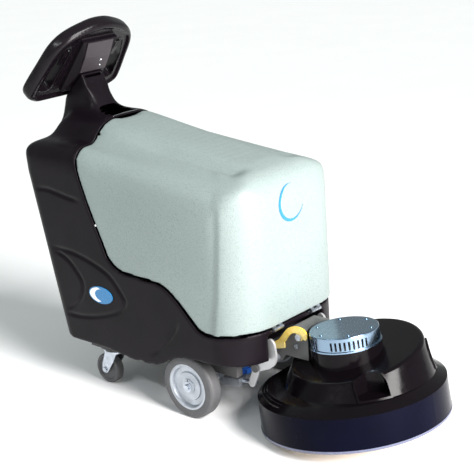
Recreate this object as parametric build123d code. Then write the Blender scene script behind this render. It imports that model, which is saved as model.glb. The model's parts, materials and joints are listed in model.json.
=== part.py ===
from build123d import *
import math
import os

# High speed floor burnisher, battery powered, walked behind.
# Millimetres, +X forwards, +Y to the operator's left, +Z up, floor at Z = 0.
# Everything is laid out from the pad's axis at X = 0, and save() moves it so that
# the origin lies on the floor under the middle of the machine's length.

MID_LENGTH_X = -434.45

# Burnishing head
PAD_R = 254.0
PAD_THICK = 25.0
PAD_BOTTOM = -5.0
SKIRT_R = 280.0
SKIRT_H = 100.0
WALL = 5.0
TIER_FOOT = (20.0, 10.0, 225.0)
TIER_RIM = (15.0, 28.0, 195.0)
TIER_RIM_Z = 195.4
TIER_TILT_Y = 10.1
COLLAR_R = 105.0
COLLAR_TOP = 224.0
CAP_R = 102.0
CAP_TOP = 270.0
HEAD_PITCH = 6.7
HEAD_RAISE = 35.8
HEAD_PIVOT = (-268.0, 168.0)
ARM_IN = 118.0
ARM_OUT = 126.0
LATCH_BOLT = (-143.0, 273.0)
ROD_PIN = (-290.0, 112.0)
ACTUATOR_PIN = (-412.0, 92.0)
ACTUATOR_Y = -111.5

# Body
BODY_HALF = 245.0
HOOD_FRONT_X = -200.0
SPLIT_X = -855.0
ROOF_REAR_X = -884.0
RIDGE_Z = 869.0
RIDGE_SLOPE = 0.166
VALLEY_Z = 803.0
VALLEY_SLOPE = 0.078
SHOULDER_SLOPE = 0.055
SHELL = 6.0
FRONT_CORNER_R = 125.0
REAR_CORNER_R = 48.0
BASE_Z = 205.0
RECESS_HALF = 130.0
RECESS_BACK_X = -300.0
RECESS_TOP = 284.0
HOOD_AXIS = (-203.0, 296.0)
GAP = 2.5

# Running gear
WHEEL_X = -453.5
WHEEL_R = 101.6
WHEEL_OUT_Y = 237.0
WHEEL_W = 50.0
RIM_R = 73.0
SHAFT_R = 12.7
CASTER_X = -829.0
CASTER_TRAIL = 35.0
CASTER_Y = 174.0
CASTER_R = 50.0
CASTER_W = 32.0
CASTER_TOP = 132.0
RUN = 0.05

# Frame rails
RAIL_IN = 138.0
RAIL_OUT = 164.0
RAIL_LOW = 138.0
RAIL_TOP = 198.0
DECK_T = 4.0
FLOOR_OPEN = 169.0

# Batteries, three of twelve volts in a row
BATTERY = (168.0, 330.0, 236.0)
BATTERY_X = (-398.0, -573.0, -748.0)

# Handle plane: u runs forwards and up, w stands off its operator's side
HANDLE_ORIGIN = (-1036.5, 0.0, 1020.0)
HANDLE_ANGLE = 49.6
HANDLE_LOW = -16.0
HANDLE_HIGH = 36.0

SIDES = (("right", -1), ("left", 1))


def box(x0, x1, y0, y1, z0, z1):
    size = (x1 - x0, y1 - y0, z1 - z0)
    return Pos((x0 + x1) / 2, (y0 + y1) / 2, (z0 + z1) / 2) * Box(*size)


def cyl_z(r, x, y, z0, z1):
    return Pos(x, y, (z0 + z1) / 2) * Cylinder(r, z1 - z0)


def cyl_y(r, x, z, y0, y1):
    return Pos(x, (y0 + y1) / 2, z) * Rot(90, 0, 0) * Cylinder(r, y1 - y0)


def cyl_x(r, y, z, x0, x1):
    return Pos((x0 + x1) / 2, y, z) * Rot(0, 90, 0) * Cylinder(r, x1 - x0)


def ring_z(r_out, r_in, z0, z1):
    return cyl_z(r_out, 0, 0, z0, z1) - cyl_z(r_in, 0, 0, z0 - 1, z1 + 1)


def side_plate(points, y0, y1):
    """A closed outline in X and Z, given as points, extruded from y0 to y1."""
    plane = Plane((0, y1, 0), x_dir=(1, 0, 0), z_dir=(0, -1, 0))
    return extrude(plane * make_face(Polyline(*points, close=True)), y1 - y0)


def side_face(edges, y0, y1):
    """A closed outline in X and Z, given as edges, extruded from y0 to y1."""
    plane = Plane((0, y1, 0), x_dir=(1, 0, 0), z_dir=(0, -1, 0))
    return extrude(plane * make_face(edges), y1 - y0)


def turned(points):
    """A closed outline of (radius, height), revolved about Z."""
    face = Plane.XZ * make_face(Polyline(*points, close=True))
    return revolve(face, Axis.Z, 360)


def mirrored(shape):
    return mirror(shape, Plane.XZ)


def both(shape):
    """A piece and its mirror image on the other side of the machine."""
    return Compound(children=[shape, mirrored(shape)])


def soften(shape, edges, radius):
    """Fillets edges, or leaves them as they are where the radius won't fit."""
    for r in (radius, radius * 0.6, radius * 0.3):
        try:
            result = fillet(edges, r)
            if result.is_valid:
                return result
        except Exception:
            continue
    return shape


# ---------------------------------------------------------------- body


def roof_section(x, drop):
    """The cover's cross-section at one X: ridge, valleys and rounded shoulders."""
    run = max(x - ROOF_REAR_X, 0.0)
    ridge = RIDGE_Z - RIDGE_SLOPE * run - drop
    valley = VALLEY_Z - VALLEY_SLOPE * run - drop
    half = BODY_HALF - drop
    wall = half + 0.8
    step = ridge - valley
    fall = SHOULDER_SLOPE * run
    foot = valley - 100 - fall
    right = [
        (wall, foot),
        (half - 1, valley - 68 - fall),
        (half - 7, valley - 38 - fall),
        (half - 22, valley - 14 - 0.9 * fall),
        (half - 48, valley - 0.6 * fall),
        (half - 82, valley + 1 - 0.25 * fall),
        (133, valley + 0.40 * step),
        (100, valley + 0.82 * step),
        (62, ridge - 1),
    ]
    curve = Spline(*right, (0, ridge), *[(-y, z) for y, z in reversed(right)])
    walls = Polyline((wall, foot), (wall, 60), (-wall, 60), (-wall, foot))
    plane = Plane((x, 0, 0), x_dir=(0, 1, 0), z_dir=(1, 0, 0))
    return plane * make_face([curve, walls])


def roof(drop):
    """The solid under the cover's roof, from behind the machine to in front of it."""
    stations = [roof_section(x, drop) for x in (-1160.0, ROOF_REAR_X, -150.0)]
    return loft(stations, ruled=True)


def plan(inset, front_x):
    """The outline seen from above, extruded: wide rounded corners at the front."""
    length = front_x + 1200.0
    centre = (front_x - 1200.0) / 2
    block = Pos(centre, 0, 500) * Box(length, 2 * (BODY_HALF - inset), 1200)
    corners = block.edges().filter_by(Axis.Z).group_by(Axis.X)[-1]
    return fillet(corners, FRONT_CORNER_R - inset)


def hood_edges(front_x, inset, grow):
    """The hood's side outline. grow opens its rear and bottom, for the hollow."""
    lift = -grow
    crest = 85.0
    cx, cz = front_x - crest, 680.0
    slope = math.atan(RIDGE_SLOPE)
    p_top = (cx + crest * math.sin(slope), cz + crest * math.cos(slope))
    p_mid = (cx + crest * math.cos(math.pi / 4), cz + crest * math.sin(math.pi / 4))
    p_front = (front_x, cz)
    p_low = (front_x, 306.0 + lift)
    front = [
        Line(p_low, p_front),
        ThreePointArc(p_front, p_mid, p_top),
        Line(p_top, (SPLIT_X - grow, p_top[1] + 160)),
    ]
    if grow:
        rest = Polyline((SPLIT_X - grow, p_top[1] + 160), (SPLIT_X - grow, 200), p_low)
        return front + [rest]
    rest = [
        Line((SPLIT_X, p_top[1] + 160), (SPLIT_X, 768)),
        Spline((SPLIT_X, 768), (-846, 735), (-822, 660), (-788, 572), (-757, 500)),
        Spline((-757, 500), (-740, 464), (-702, 437), (-650, 428), tangents=[(0.3, -1), (1, -0.05)]),
        Line((-650, 428), (-545, 422)),
        Spline((-545, 422), (-490, 404), (-440, 362), (-395, 318), (-330, 294),
               tangents=[(1, -0.05), (1, 0)]),
        Line((-330, 294), p_low),
    ]
    return front + rest


def hood_outer():
    shape = side_face(hood_edges(HOOD_FRONT_X, 0, 0), -BODY_HALF - 5, BODY_HALF + 5)
    return shape & plan(0, HOOD_FRONT_X) & roof(0)


def hood_inner():
    """The hollow under the hood, open behind and below."""
    front_x = HOOD_FRONT_X - WALL
    shape = side_face(hood_edges(front_x, WALL, 60), -BODY_HALF - 5, BODY_HALF + 5)
    return shape & plan(WALL, front_x) & roof(WALL)


def hood():
    return hood_outer() - hood_inner()


REAR_WALL = [(-1005, 200), (-1018, 300), (-1026, 358), (-1044, 466), (-1056, 466), (-1068, 515),
             (-1096, 652), (-1104, 655), (-1119, 752)]
REAR_LEAN = 0.204


def body_side(inset):
    """Side outline of the whole black moulding, before the hood is cut from it."""
    rear = [(x + inset, z) for x, z in REAR_WALL]
    bottom = [
        (-992, 176 + inset), (-968, 163 + inset), (-936, 158 + inset), (-780, 157 + inset),
        (-664, 144 + inset), (-640, 149 + inset), (-612, 146 + inset), (-571, 150 + inset),
        (-539, 161 + inset), (-516, 177 + inset), (-490, 190 + inset), (-453, 198 + inset),
        (-400, 203 + inset), (-341, BASE_Z + inset),
    ]
    front = [(HOOD_FRONT_X - 7 - inset, BASE_Z + inset), (HOOD_FRONT_X - 7 - inset, 884)]
    crown = [(-1056, 884), (-1068, 800), (-1090, 796), (-1107, 785), (-1117, 768)]
    top = [(x + inset, z - inset) for x, z in crown]
    return rear[:1] + bottom + front + top + list(reversed(rear))[:-1]


def leaning_plan(inset):
    """The outline from above with rounded rear corners, leaning with the rear wall."""
    rear = -1005 + inset
    sketch = Pos((rear + 200) / 2, 0) * RectangleRounded(200 - rear, 2 * (BODY_HALF - inset), REAR_CORNER_R - inset)
    low = 100.0
    start = Pos(REAR_LEAN * (200 - low), 0, low) * sketch
    return extrude(start, 900, dir=(-REAR_LEAN, 0, 1))


def neck(inset):
    """The column that carries the console: a tapered post with a flared foot."""
    half = 110.0 - inset
    points = [
        (-1118 + inset, 780), (-1104 + inset, 900), (-1094 + inset, 928), (-1069, 938 - inset),
        (-1003, 995 - inset), (-987 - inset, 956), (-947 - inset, 892), (-926 - inset, 879),
        (-900 - inset, 872), (-864 - inset, 867), (-864 - inset, 780),
    ]
    post = side_plate(points, -half, half)
    right = [(46, 1000), (49, 930), (56, 868), (66, 840), (84, 818), (110, 804), (110, 770)]
    right = [(y - inset, z) for y, z in right]
    outline = right + [(-y, z) for y, z in reversed(right)]
    plane = Plane((-1200, 0, 0), x_dir=(0, 1, 0), z_dir=(1, 0, 0))
    post = post & extrude(plane * make_face(Polyline(*outline, close=True)), 500)
    if inset:
        return post
    uprights = [e for e in post.edges() if e.bounding_box().size.Y < 8
                and e.center().Z > 868 and e.center().Z < 985 and abs(e.center().Y) > 40]
    return soften(post, uprights, 11)


def in_handle(shape):
    """Places a shape drawn as (u, Y, w) on the handle's own plane."""
    tilt = math.radians(HANDLE_ANGLE)
    u_axis = (math.cos(tilt), 0, math.sin(tilt))
    w_axis = (-math.sin(tilt), 0, math.cos(tilt))
    return Plane(HANDLE_ORIGIN, x_dir=u_axis, z_dir=w_axis).location * shape


def in_head(shape):
    """Places a shape drawn level, with Z from the skirt's lower edge, at the head's tilt."""
    return Location((0, 0, HEAD_RAISE), (0, -HEAD_PITCH, 0)) * shape


POD_UNDER = [(-95, -26), (1, -44), (63, -36), (118, -22)]
POD_HALF = 72.0
POD_TOP = 20.0


def pod_solid(inset):
    """The console pod as a solid, its underside folded outwards at the middle."""
    first, last = POD_UNDER[0], POD_UNDER[-1]
    points = [(first[0] + inset, POD_TOP + inset), (first[0] + inset, first[1] + inset)]
    points += [(u, w + inset) for u, w in POD_UNDER[1:-1]]
    points += [(last[0] - inset, last[1] + inset), (last[0] - inset, POD_TOP + inset)]
    half = POD_HALF - inset
    block = side_plate(points, -half, half)
    wedge = 34.0
    for _, s in SIDES:
        plane = Plane((0, 0, 0), x_dir=(0, 1, 0), z_dir=(1, 0, 0))
        corner = Polyline((s * half, -21), (s * half, -90), (s * (half - wedge), -90), (s * (half - 16), -44),
                          close=True)
        block = block - Pos(-200, 0, 0) * extrude(plane * make_face(corner), 400)
    return block


def body_shell():
    blank = side_plate(body_side(0), -BODY_HALF, BODY_HALF)
    hollow = side_plate(body_side(SHELL), -BODY_HALF + SHELL, BODY_HALF - SHELL)
    blank = blank & leaning_plan(0) & plan(0, HOOD_FRONT_X - 7) & roof(0)
    hollow = hollow & leaning_plan(SHELL) & plan(SHELL, HOOD_FRONT_X - 7 - SHELL) & roof(SHELL)
    hood_zone = side_face(hood_edges(HOOD_FRONT_X + 30, 0, 0), -400, 400)
    hood_zone = hood_zone + Pos(-GAP, 0, -GAP) * hood_zone
    recess_wall = box(RECESS_BACK_X - SHELL, -190, -RECESS_HALF - SHELL, RECESS_HALF + SHELL,
                      150, RECESS_TOP + SHELL)
    hollow = hollow - recess_wall
    for _, s in SIDES:
        y0, y1 = sorted((s * 169, s * (BODY_HALF + 1)))
        hollow = hollow - cyl_y(118, WHEEL_X, WHEEL_R, y0, y1)
    shell = blank + neck(0) - hood_zone - hollow - neck(SHELL)
    shell = shell - box(RECESS_BACK_X, -190, -RECESS_HALF, RECESS_HALF, 150, RECESS_TOP)
    shell = shell - box(-975, RECESS_BACK_X - SHELL, -FLOOR_OPEN, FLOOR_OPEN, 120, 225)
    for _, s in SIDES:
        y0, y1 = sorted((s * 58, s * 116))
        shell = shell - box(-215, -200, y0, y1, RECESS_TOP + SHELL, 310)
    for _, s in SIDES:
        y0, y1 = sorted((s * 175, s * 241))
        shell = shell - cyl_y(112, WHEEL_X, WHEEL_R, y0, y1)
    shell = shell - in_handle(box(-220, 200, -250, 250, -22, 120)) - in_handle(pod_solid(0))
    return max(shell.solids(), key=lambda solid: solid.volume)


def oval_badge():
    """Raised oval on each side of the body's rear half."""
    half = []
    for _, s in SIDES:
        y0, y1 = sorted((s * BODY_HALF, s * (BODY_HALF + 2.5)))
        plane = Plane((-790, y1, 338), x_dir=(1, 0, 0), z_dir=(0, -1, 0))
        oval = extrude(plane * Ellipse(53, 28), y1 - y0)
        half.append(oval)
    return Compound(children=half)


# ---------------------------------------------------------------- frame


def chassis_frame():
    rail = box(-974, -312, RAIL_IN, RAIL_OUT, RAIL_LOW, RAIL_TOP)
    outrigger = box(-905, -782, RAIL_OUT - 1, 209, RAIL_LOW, 157)
    mount = ring_z(34, 6 + RUN, 122.3, CASTER_TOP + 0.5) + box(-36, 36, -30, 30, 126, 132.5)
    mount = mount - cyl_z(6 + RUN, 0, 0, 100, 160)
    race = Pos(CASTER_X, CASTER_Y, 0) * mount
    frame = rail + mirrored(rail) + outrigger + mirrored(outrigger)
    caster_plate = box(-905, -765, -209, 209, CASTER_TOP, RAIL_LOW)
    for _, s in SIDES:
        caster_plate = caster_plate - cyl_z(9, CASTER_X, s * CASTER_Y, 120, 158)
        frame = frame - cyl_z(9, CASTER_X, s * CASTER_Y, 120, 158)
    frame = frame + caster_plate + race + mirrored(race)
    for x in (-974, -640, -337):
        frame = frame + box(x, x + 25, -RAIL_IN - 1, RAIL_IN + 1, 162, RAIL_TOP)
    return frame


def battery_deck():
    half = BATTERY[1] / 2
    tray = box(-836, -312, -half - 3, half + 3, RAIL_TOP, RAIL_TOP + 30)
    tray = tray - box(-833, -311, -half, half, RAIL_TOP + DECK_T, RAIL_TOP + 31)
    slots = [box(x - 40, x + 40, y - 9, y + 9, 150, 250) for x in BATTERY_X for y in (-90, 0, 90)]
    return tray - slots


def battery(x):
    length, width, height = BATTERY
    low = RAIL_TOP + DECK_T
    case = box(x - length / 2, x + length / 2, -width / 2, width / 2, low, low + height - 24)
    case = fillet(case.edges().filter_by(Axis.Z), 5)
    lid = box(x - length / 2, x + length / 2, -width / 2, width / 2, low + height - 24, low + height - 8)
    lid = fillet(lid.edges().filter_by(Axis.Z), 5)
    lid = lid + box(x - 30, x + 30, -120, 120, low + height - 9, low + height)
    for y in (-138, 138):
        lid = lid + cyl_z(9, x - 52, y, low + height - 9, low + height + 10)
    vents = [cyl_z(10, x, y, low + height - 1, low + height + 4) for y in (-95, -57, -19, 19, 57, 95)]
    return case + lid + vents


def battery_strap():
    """Hold-down bar across the tops of the three batteries, turned down at both ends."""
    top = RAIL_TOP + DECK_T + BATTERY[2]
    bar = box(-840, -308, -14, 14, top + 4, top + 8)
    rear_leg = box(-840, -836, -14, 14, RAIL_TOP + 2, top + 5)
    front_leg = box(-312, -308, -14, 14, RAIL_LOW + 30, top + 5)
    return bar + rear_leg + front_leg


def battery_jumper_cables():
    """Two leads that join the three batteries in series, post to post."""
    top = RAIL_TOP + DECK_T + BATTERY[2] + 10
    leads = []
    for i, y in ((0, 138), (1, -138)):
        x0, x1 = BATTERY_X[i] - 52, BATTERY_X[i + 1] - 52
        path = FilletPolyline((x0, y, top + 4), (x0, y, top + 26), (x1, y, top + 26), (x1, y, top + 4),
                              radius=16)
        start = Plane((x0, y, top + 4), z_dir=(0, 0, 1))
        lead = sweep(start * Circle(5.5), path=path)
        lugs = [cyl_z(10, x, y, top, top + 5) for x in (x0, x1)]
        leads.append(lead + lugs)
    return Compound(children=leads)


def motor_controller():
    """Finned controller standing on the frame behind the batteries."""
    base = box(-968, -880, -RAIL_OUT, RAIL_OUT, RAIL_TOP, RAIL_TOP + 6)
    case = box(-960, -888, -92, 92, RAIL_TOP + 5, RAIL_TOP + 70)
    fins = [box(-964, -884, y, y + 4, RAIL_TOP + 69, RAIL_TOP + 88) for y in range(-92, 92, 16)]
    studs = [cyl_z(6, x, y, RAIL_TOP + 5, RAIL_TOP + 40) for x in (-950, -898) for y in (-120, 120)]
    return base + case + fins + studs


# ---------------------------------------------------------------- drive


def transaxle_gearbox():
    case = box(WHEEL_X - 62, WHEEL_X + 50, -58, 58, 52, 150)
    case = soften(case, case.edges().filter_by(Axis.Y), 30)
    ribs = [box(WHEEL_X - 60, WHEEL_X + 48, y, y + 5, 149, 154) for y in (-44, -2, 39)]
    tube = cyl_y(17, WHEEL_X, WHEEL_R, 57, 166)
    flange = cyl_y(34, WHEEL_X, WHEEL_R, 57, 64)
    saddle = box(WHEEL_X - 17, WHEEL_X + 17, RAIL_IN + 2, RAIL_OUT - 2, WHEEL_R, RAIL_LOW)
    side = tube + flange + saddle
    gearbox = case + side + mirrored(side)
    bore = cyl_y(SHAFT_R + RUN, WHEEL_X, WHEEL_R, 38, 170)
    return gearbox - bore - mirrored(bore)


def drive_motor():
    """Traction motor flanged to the back of the gearbox."""
    x = WHEEL_X - 62
    body = cyl_x(44, 0, WHEEL_R, x - 132, x - 12)
    body = body + cyl_x(48, 0, WHEEL_R, x - 12, x) + cyl_x(40, 0, WHEEL_R, x - 144, x - 132)
    slots = [Pos(0, 0, WHEEL_R) * Rot(a, 0, 0) * box(x - 128, x - 100, -4, 4, 40, 50)
             for a in range(0, 360, 45)]
    return body - slots


TYRE_PROFILE = [(RIM_R, 2), (82, 1), (94, 2.5), (99.5, 6), (WHEEL_R, 12), (WHEEL_R, 38), (99.5, 44),
                (94, 47.5), (82, 49), (RIM_R, 48)]
RIM_PROFILE = [(SHAFT_R, 5), (24, 5), (24, 9), (44, 11), (46, 15), (61, 13), (64, 4), (67, 1.5), (RIM_R, 2),
               (RIM_R, 48), (66, 48), (63, 34), (26, 30), (24, 47), (SHAFT_R, 47)]


def wheel_part(profile, side):
    """Turns a profile of (radius, depth from the outer face) about the axle."""
    part = Pos(WHEEL_X, -WHEEL_OUT_Y, WHEEL_R) * Rot(-90, 0, 0) * turned(profile)
    return part if side < 0 else mirrored(part)


def tyre(side):
    return wheel_part(TYRE_PROFILE, side)


def rim(side):
    part = wheel_part(RIM_PROFILE, -1)
    part = part - cyl_z(3, WHEEL_X, -WHEEL_OUT_Y + 7.2, WHEEL_R + 12, WHEEL_R + 30)
    return part if side < 0 else mirrored(part)


def half_shaft(side):
    """Drive shaft out of the gearbox, with the washer and bolt that hold the wheel on."""
    y = -WHEEL_OUT_Y
    shaft = cyl_y(SHAFT_R, WHEEL_X, WHEEL_R, y + 5, -40)
    washer = cyl_y(17, WHEEL_X, WHEEL_R, y + 2.5, y + 5)
    head = Pos(WHEEL_X, y - 1.5, WHEEL_R) * Rot(90, 0, 0) * extrude(RegularPolygon(9.5, 6), 4, both=True)
    part = shaft + washer + head
    return part if side < 0 else mirrored(part)


def caster_fork(side):
    """Swivelling fork: top plate, kingpin, two swept legs and the axle bolt."""
    plate = box(-33, 30, -26, 26, 116, 122) + cyl_z(33, 0, 0, 116, 122)
    plate = plate & cyl_z(36, -2, 0, 110, 130)
    kingpin = cyl_z(6, 0, 0, 118, 143) + cyl_z(8.5, 0, 0, 133, 143)
    leg_points = [(-26, 118), (26, 118), (8, 86), (-CASTER_TRAIL + 11, 41), (-CASTER_TRAIL - 4, 38),
                  (-CASTER_TRAIL - 13, 47), (-CASTER_TRAIL - 11, 66)]
    leg = side_plate(leg_points, 20, 24)
    axle = cyl_y(5, -CASTER_TRAIL, CASTER_R, -24, 24)
    nuts = [Pos(-CASTER_TRAIL, y, CASTER_R) * Rot(90, 0, 0) * extrude(RegularPolygon(8.5, 6), 2.5, both=True)
            for y in (-26, 26)]
    fork = plate + kingpin + leg + mirrored(leg) + axle + nuts
    return Pos(CASTER_X, side * CASTER_Y, 0) * fork


def caster_wheel(side):
    profile = [(5 + RUN, -19), (13, -19), (15, -12), (36, -10), (40, -15), (46, -16), (49, -12),
               (CASTER_R, -7), (CASTER_R, 7), (49, 12), (46, 16), (40, 15), (36, 10), (15, 12), (13, 19),
               (5 + RUN, 19)]
    wheel = Rot(90, 0, 0) * turned(profile)
    return Pos(CASTER_X - CASTER_TRAIL, side * CASTER_Y, CASTER_R) * wheel


# ---------------------------------------------------------------- head


def tier(grow):
    """The shroud's upper tier as a solid: an offset foot, and a rim tilted like a scroll."""
    foot_x, foot_y, foot_r = TIER_FOOT
    rim_x, rim_y, rim_r = TIER_RIM
    slope = math.tan(math.radians(TIER_TILT_Y))
    foot = Plane((foot_x, foot_y, 104)) * Circle(foot_r + 2 + grow)
    top = Plane((rim_x, rim_y, TIER_RIM_Z + grow), x_dir=(1, 0, 0.022), z_dir=(-0.022, -slope, 1))
    return loft([foot, top * Circle(rim_r + grow)])


SCOOP_ANGLES = (-36, 42)
SCOOP_HALF = 44.0


def scoop(wall):
    """A D-shaped passage running inwards from the side, drawn along +X; wall thickens it."""
    half = SCOOP_HALF + wall
    low = 124 - wall
    profile = Plane((150 - wall, 0, 0), x_dir=(0, 1, 0), z_dir=(1, 0, 0))
    arch = 150
    edges = [
        Line((-half, low), (half, low)),
        Line((half, low), (half, arch)),
        ThreePointArc((half, arch), (0, arch + half), (-half, arch)),
        Line((-half, arch), (-half, low)),
    ]
    tunnel = extrude(profile * make_face(edges), 160)
    vee = Polyline((330, -60), (330, 60), (190 - wall, 60), (158 - wall, 0), (190 - wall, -60), close=True)
    return tunnel & extrude(Plane((0, 0, 90)) * make_face(vee), 140)


def sector(a0, a1, r):
    """A tall wedge about Z between two angles."""
    mid = (a0 + a1) / 2
    points = [(0, 0)] + [(r * math.cos(math.radians(a)), r * math.sin(math.radians(a)))
                         for a in (a0, mid, a1)]
    return extrude(Plane((0, 0, 80)) * make_face(Polyline(*points, close=True)), 240)


def shroud():
    flange = turned([(277, 100), (243, 119), (190, 119), (190, 114), (240, 114), (269, 100)])
    outer = tier(0)
    outer = soften(outer, outer.edges().group_by(Axis.Z)[-1], 13)
    inner = Pos(0, 0, -WALL) * tier(-WALL)
    collar = cyl_z(COLLAR_R, 0, 0, 150, COLLAR_TOP)
    top = outer + collar
    top = top - cyl_z(300, 0, 0, 90, 114)
    body = top + flange - (inner - ring_z(400, 240, 90, 114))
    for angle in SCOOP_ANGLES:
        rim_zone = tier(4) - cyl_z(300, 0, 0, 90, 114)
        body = body + (Rot(0, 0, angle) * scoop(5) & rim_zone)
    for angle in SCOOP_ANGLES:
        body = body - Rot(0, 0, angle) * scoop(0)
    for r in (243, 252, 261):
        z = 119 - (r - 243) * 19 / 34
        body = body + (ring_z(r + 1.6, r - 1.6, z - 2, z + 2.6) & sector(-165, -105, 300))
    body = body - cyl_z(COLLAR_R - 8, 0, 0, 120, 240)
    return in_head(max(body.solids(), key=lambda solid: solid.volume))


def skirt():
    ring = turned([(SKIRT_R - 0.2, 8), (277, SKIRT_H), (271.5, SKIRT_H), (274.5, 8)])
    return in_head(ring)


def skirt_trim():
    """Soft bead pushed over the skirt's lower edge."""
    ring = turned([(SKIRT_R + 1, 1), (SKIRT_R + 1, 8), (274, 8), (274, 1), (276, 0), (SKIRT_R - 1, 0)])
    return in_head(ring)


def motor_plate():
    disc = cyl_z(238, 0, 0, 106, 114) - cyl_z(20, 0, 0, 100, 120)
    ribs = [Rot(0, 0, a) * box(60, 225, -3, 3, 92, 107) for a in range(0, 360, 60)]
    return in_head(disc + ribs)


def motor_housing():
    body = cyl_z(88, 0, 0, 114, 236) + cyl_z(70, 0, 0, 236, 250)
    body = body - cyl_z(9 + RUN, 0, 0, 100, 150) - cyl_z(12, 0, 0, 150, 156)
    fins = [Rot(0, 0, a) * box(86, 93, -2, 2, 130, 214) for a in range(0, 360, 20)]
    return in_head(body + fins)


def motor_cap():
    """Louvred cap over the motor: slots in four groups, six rivets on its top."""
    shell = cyl_z(CAP_R, 0, 0, COLLAR_TOP, CAP_TOP)
    shell = soften(shell, shell.edges().group_by(Axis.Z)[-1], 4)
    shell = shell + cyl_z(106, 0, 0, COLLAR_TOP, COLLAR_TOP + 4)
    shell = shell - cyl_z(CAP_R - 3, 0, 0, COLLAR_TOP - 1, CAP_TOP - 3)
    slots = []
    for group in range(4):
        for i in range(9):
            angle = -76 + 90 * group + 7.4 * i
            slots.append(Rot(0, 0, angle) * box(90, 110, -3, 3, 232, 257))
    shell = shell - slots
    for i in range(6):
        shell = shell + Rot(0, 0, 15 + 60 * i) * cyl_z(4.5, 84, 0, CAP_TOP - 1, CAP_TOP + 2)
    return in_head(shell)


def lift_arms():
    """Two arm plates with upright ends, the cross tube between them and the rod's lug."""
    px, pz = HEAD_PIVOT
    outline = [
        Line((px - 4, pz - 15), (-215, 176)),
        Line((-215, 176), (-197, 190)),
        Spline((-197, 190), (-188, 215), (-190, 245), (-203, 270), tangents=[(0.5, 1), (-0.9, 0.5)]),
        ThreePointArc((-203, 270), (-216, 268), (-217, 255)),
        Line((-217, 255), (-219, 215)),
        Line((-219, 215), (-232, 200)),
        Line((-232, 200), (px - 2, pz + 15)),
        ThreePointArc((px - 2, pz + 15), (px - 15.1, pz), (px - 4, pz - 15)),
    ]
    plate = side_face(outline, ARM_IN, ARM_OUT)
    plate = plate - cyl_y(8 + RUN, px, pz, 100, 140)
    bx, bz = ROD_PIN
    lug_points = [(px - 12, pz - 4), (px + 14, pz - 6), (bx + 11, bz - 6), (bx + 5, bz - 11), (bx - 6, bz - 10),
                  (bx - 11, bz)]
    lug = side_plate(lug_points, -ARM_OUT, -ARM_IN) - cyl_y(8 + RUN, px, pz, -140, -100)
    pin = cyl_y(5, bx, bz, ACTUATOR_Y - 9, ACTUATOR_Y + 8)
    tube = cyl_y(12, -238, 186, -ARM_IN - 1, ARM_IN + 1)
    return plate + mirrored(plate) + lug + pin + tube


def pivot_block():
    outline = [(-256, 176), (-222, 176), (-205, 200), (-118, 200), (-118, 268), (-132, 290), (-186, 290),
               (-222, 262), (-226, 214), (-256, 198)]
    block = side_plate(outline, -60, 60)
    tall = [e for e in block.edges().filter_by(Axis.Y) if e.center().Z > 255]
    block = soften(block, tall, 8)
    cavity = in_head(tier(0) + cyl_z(COLLAR_R, 0, 0, 150, 222) + cyl_z(108, 0, 0, 222, 300))
    return block - cavity - cyl_y(12, -238, 186, -80, 80)


def hex_head(x, y0, z, r, length):
    bolt = extrude(RegularPolygon(r, 6), length)
    return Pos(x, y0, z) * Rot(90, 0, 0) * bolt


def pivot_bolts():
    """Bolts in the block's sides; the latch lever turns on the right-hand upper one."""
    x, z = LATCH_BOLT
    pivot = cyl_y(8, x, z, -70, -60) + hex_head(x, -70, z, 11, 6)
    others = [hex_head(x, 66, z, 9, 6), hex_head(-160, -60, 238, 8, 5), hex_head(-160, 65, 238, 8, 5)]
    return Compound(children=[pivot] + others)


def latch_lever():
    """Bent lever with a lower tab, turning on the block's upper bolt."""
    x, z = LATCH_BOLT
    outline = [
        Spline((-246, 236), (-206, 268), (-184, 292), (-148, 302), (-127, 297), (-116, 283), (-121, 265)),
        Line((-121, 265), (-133, 268)),
        Spline((-133, 268), (-150, 281), (-168, 279), (-187, 262), (-202, 243)),
        Line((-202, 243), (-202, 225)),
        Line((-202, 225), (-246, 213)),
        Line((-246, 213), (-246, 236)),
    ]
    plate = side_face(outline, -67, -62) + cyl_y(13, x, z, -67, -62)
    return plate - cyl_y(8 + RUN, x, z, -80, -50)


def pad_driver():
    disc = turned([(9, 20), (240, 20), (240, 30), (232, 32), (228, 27), (44, 27), (38, 44), (14, 48),
                   (14, 98), (9, 100)])
    shaft = cyl_z(9, 0, 0, 20, 148)
    studs = [Rot(0, 0, a) * cyl_z(7, 150, 0, 26, 30) for a in range(0, 360, 45)]
    return in_head(disc + shaft + studs)


def burnishing_pad():
    pad = cyl_z(PAD_R, 0, 0, PAD_BOTTOM, 20) - cyl_z(42, 0, 0, -10, 30)
    pad = soften(pad, pad.edges().filter_by(GeomType.CIRCLE).sort_by(SortBy.RADIUS)[-2:], 3)
    return in_head(pad)


def pad_retainer():
    cup = cyl_z(41.5, 0, 0, 8, 20) + cyl_z(30, 0, 0, 4, 8)
    grips = [Rot(0, 0, a) * box(24, 38, -3, 3, 3, 9) for a in range(0, 360, 60)]
    return in_head(cup + grips)


# ---------------------------------------------------------------- lift actuator and head hinge


def along_actuator(shape):
    """Places a shape drawn along +X from the rear pin onto the actuator's line."""
    ax, az = ACTUATOR_PIN
    bx, bz = ROD_PIN
    rise = math.degrees(math.atan2(bz - az, bx - ax))
    return Location((ax, ACTUATOR_Y, az), (0, -rise, 0)) * shape


ACTUATOR_LENGTH = math.hypot(ROD_PIN[0] - ACTUATOR_PIN[0], ROD_PIN[1] - ACTUATOR_PIN[1])


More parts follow.
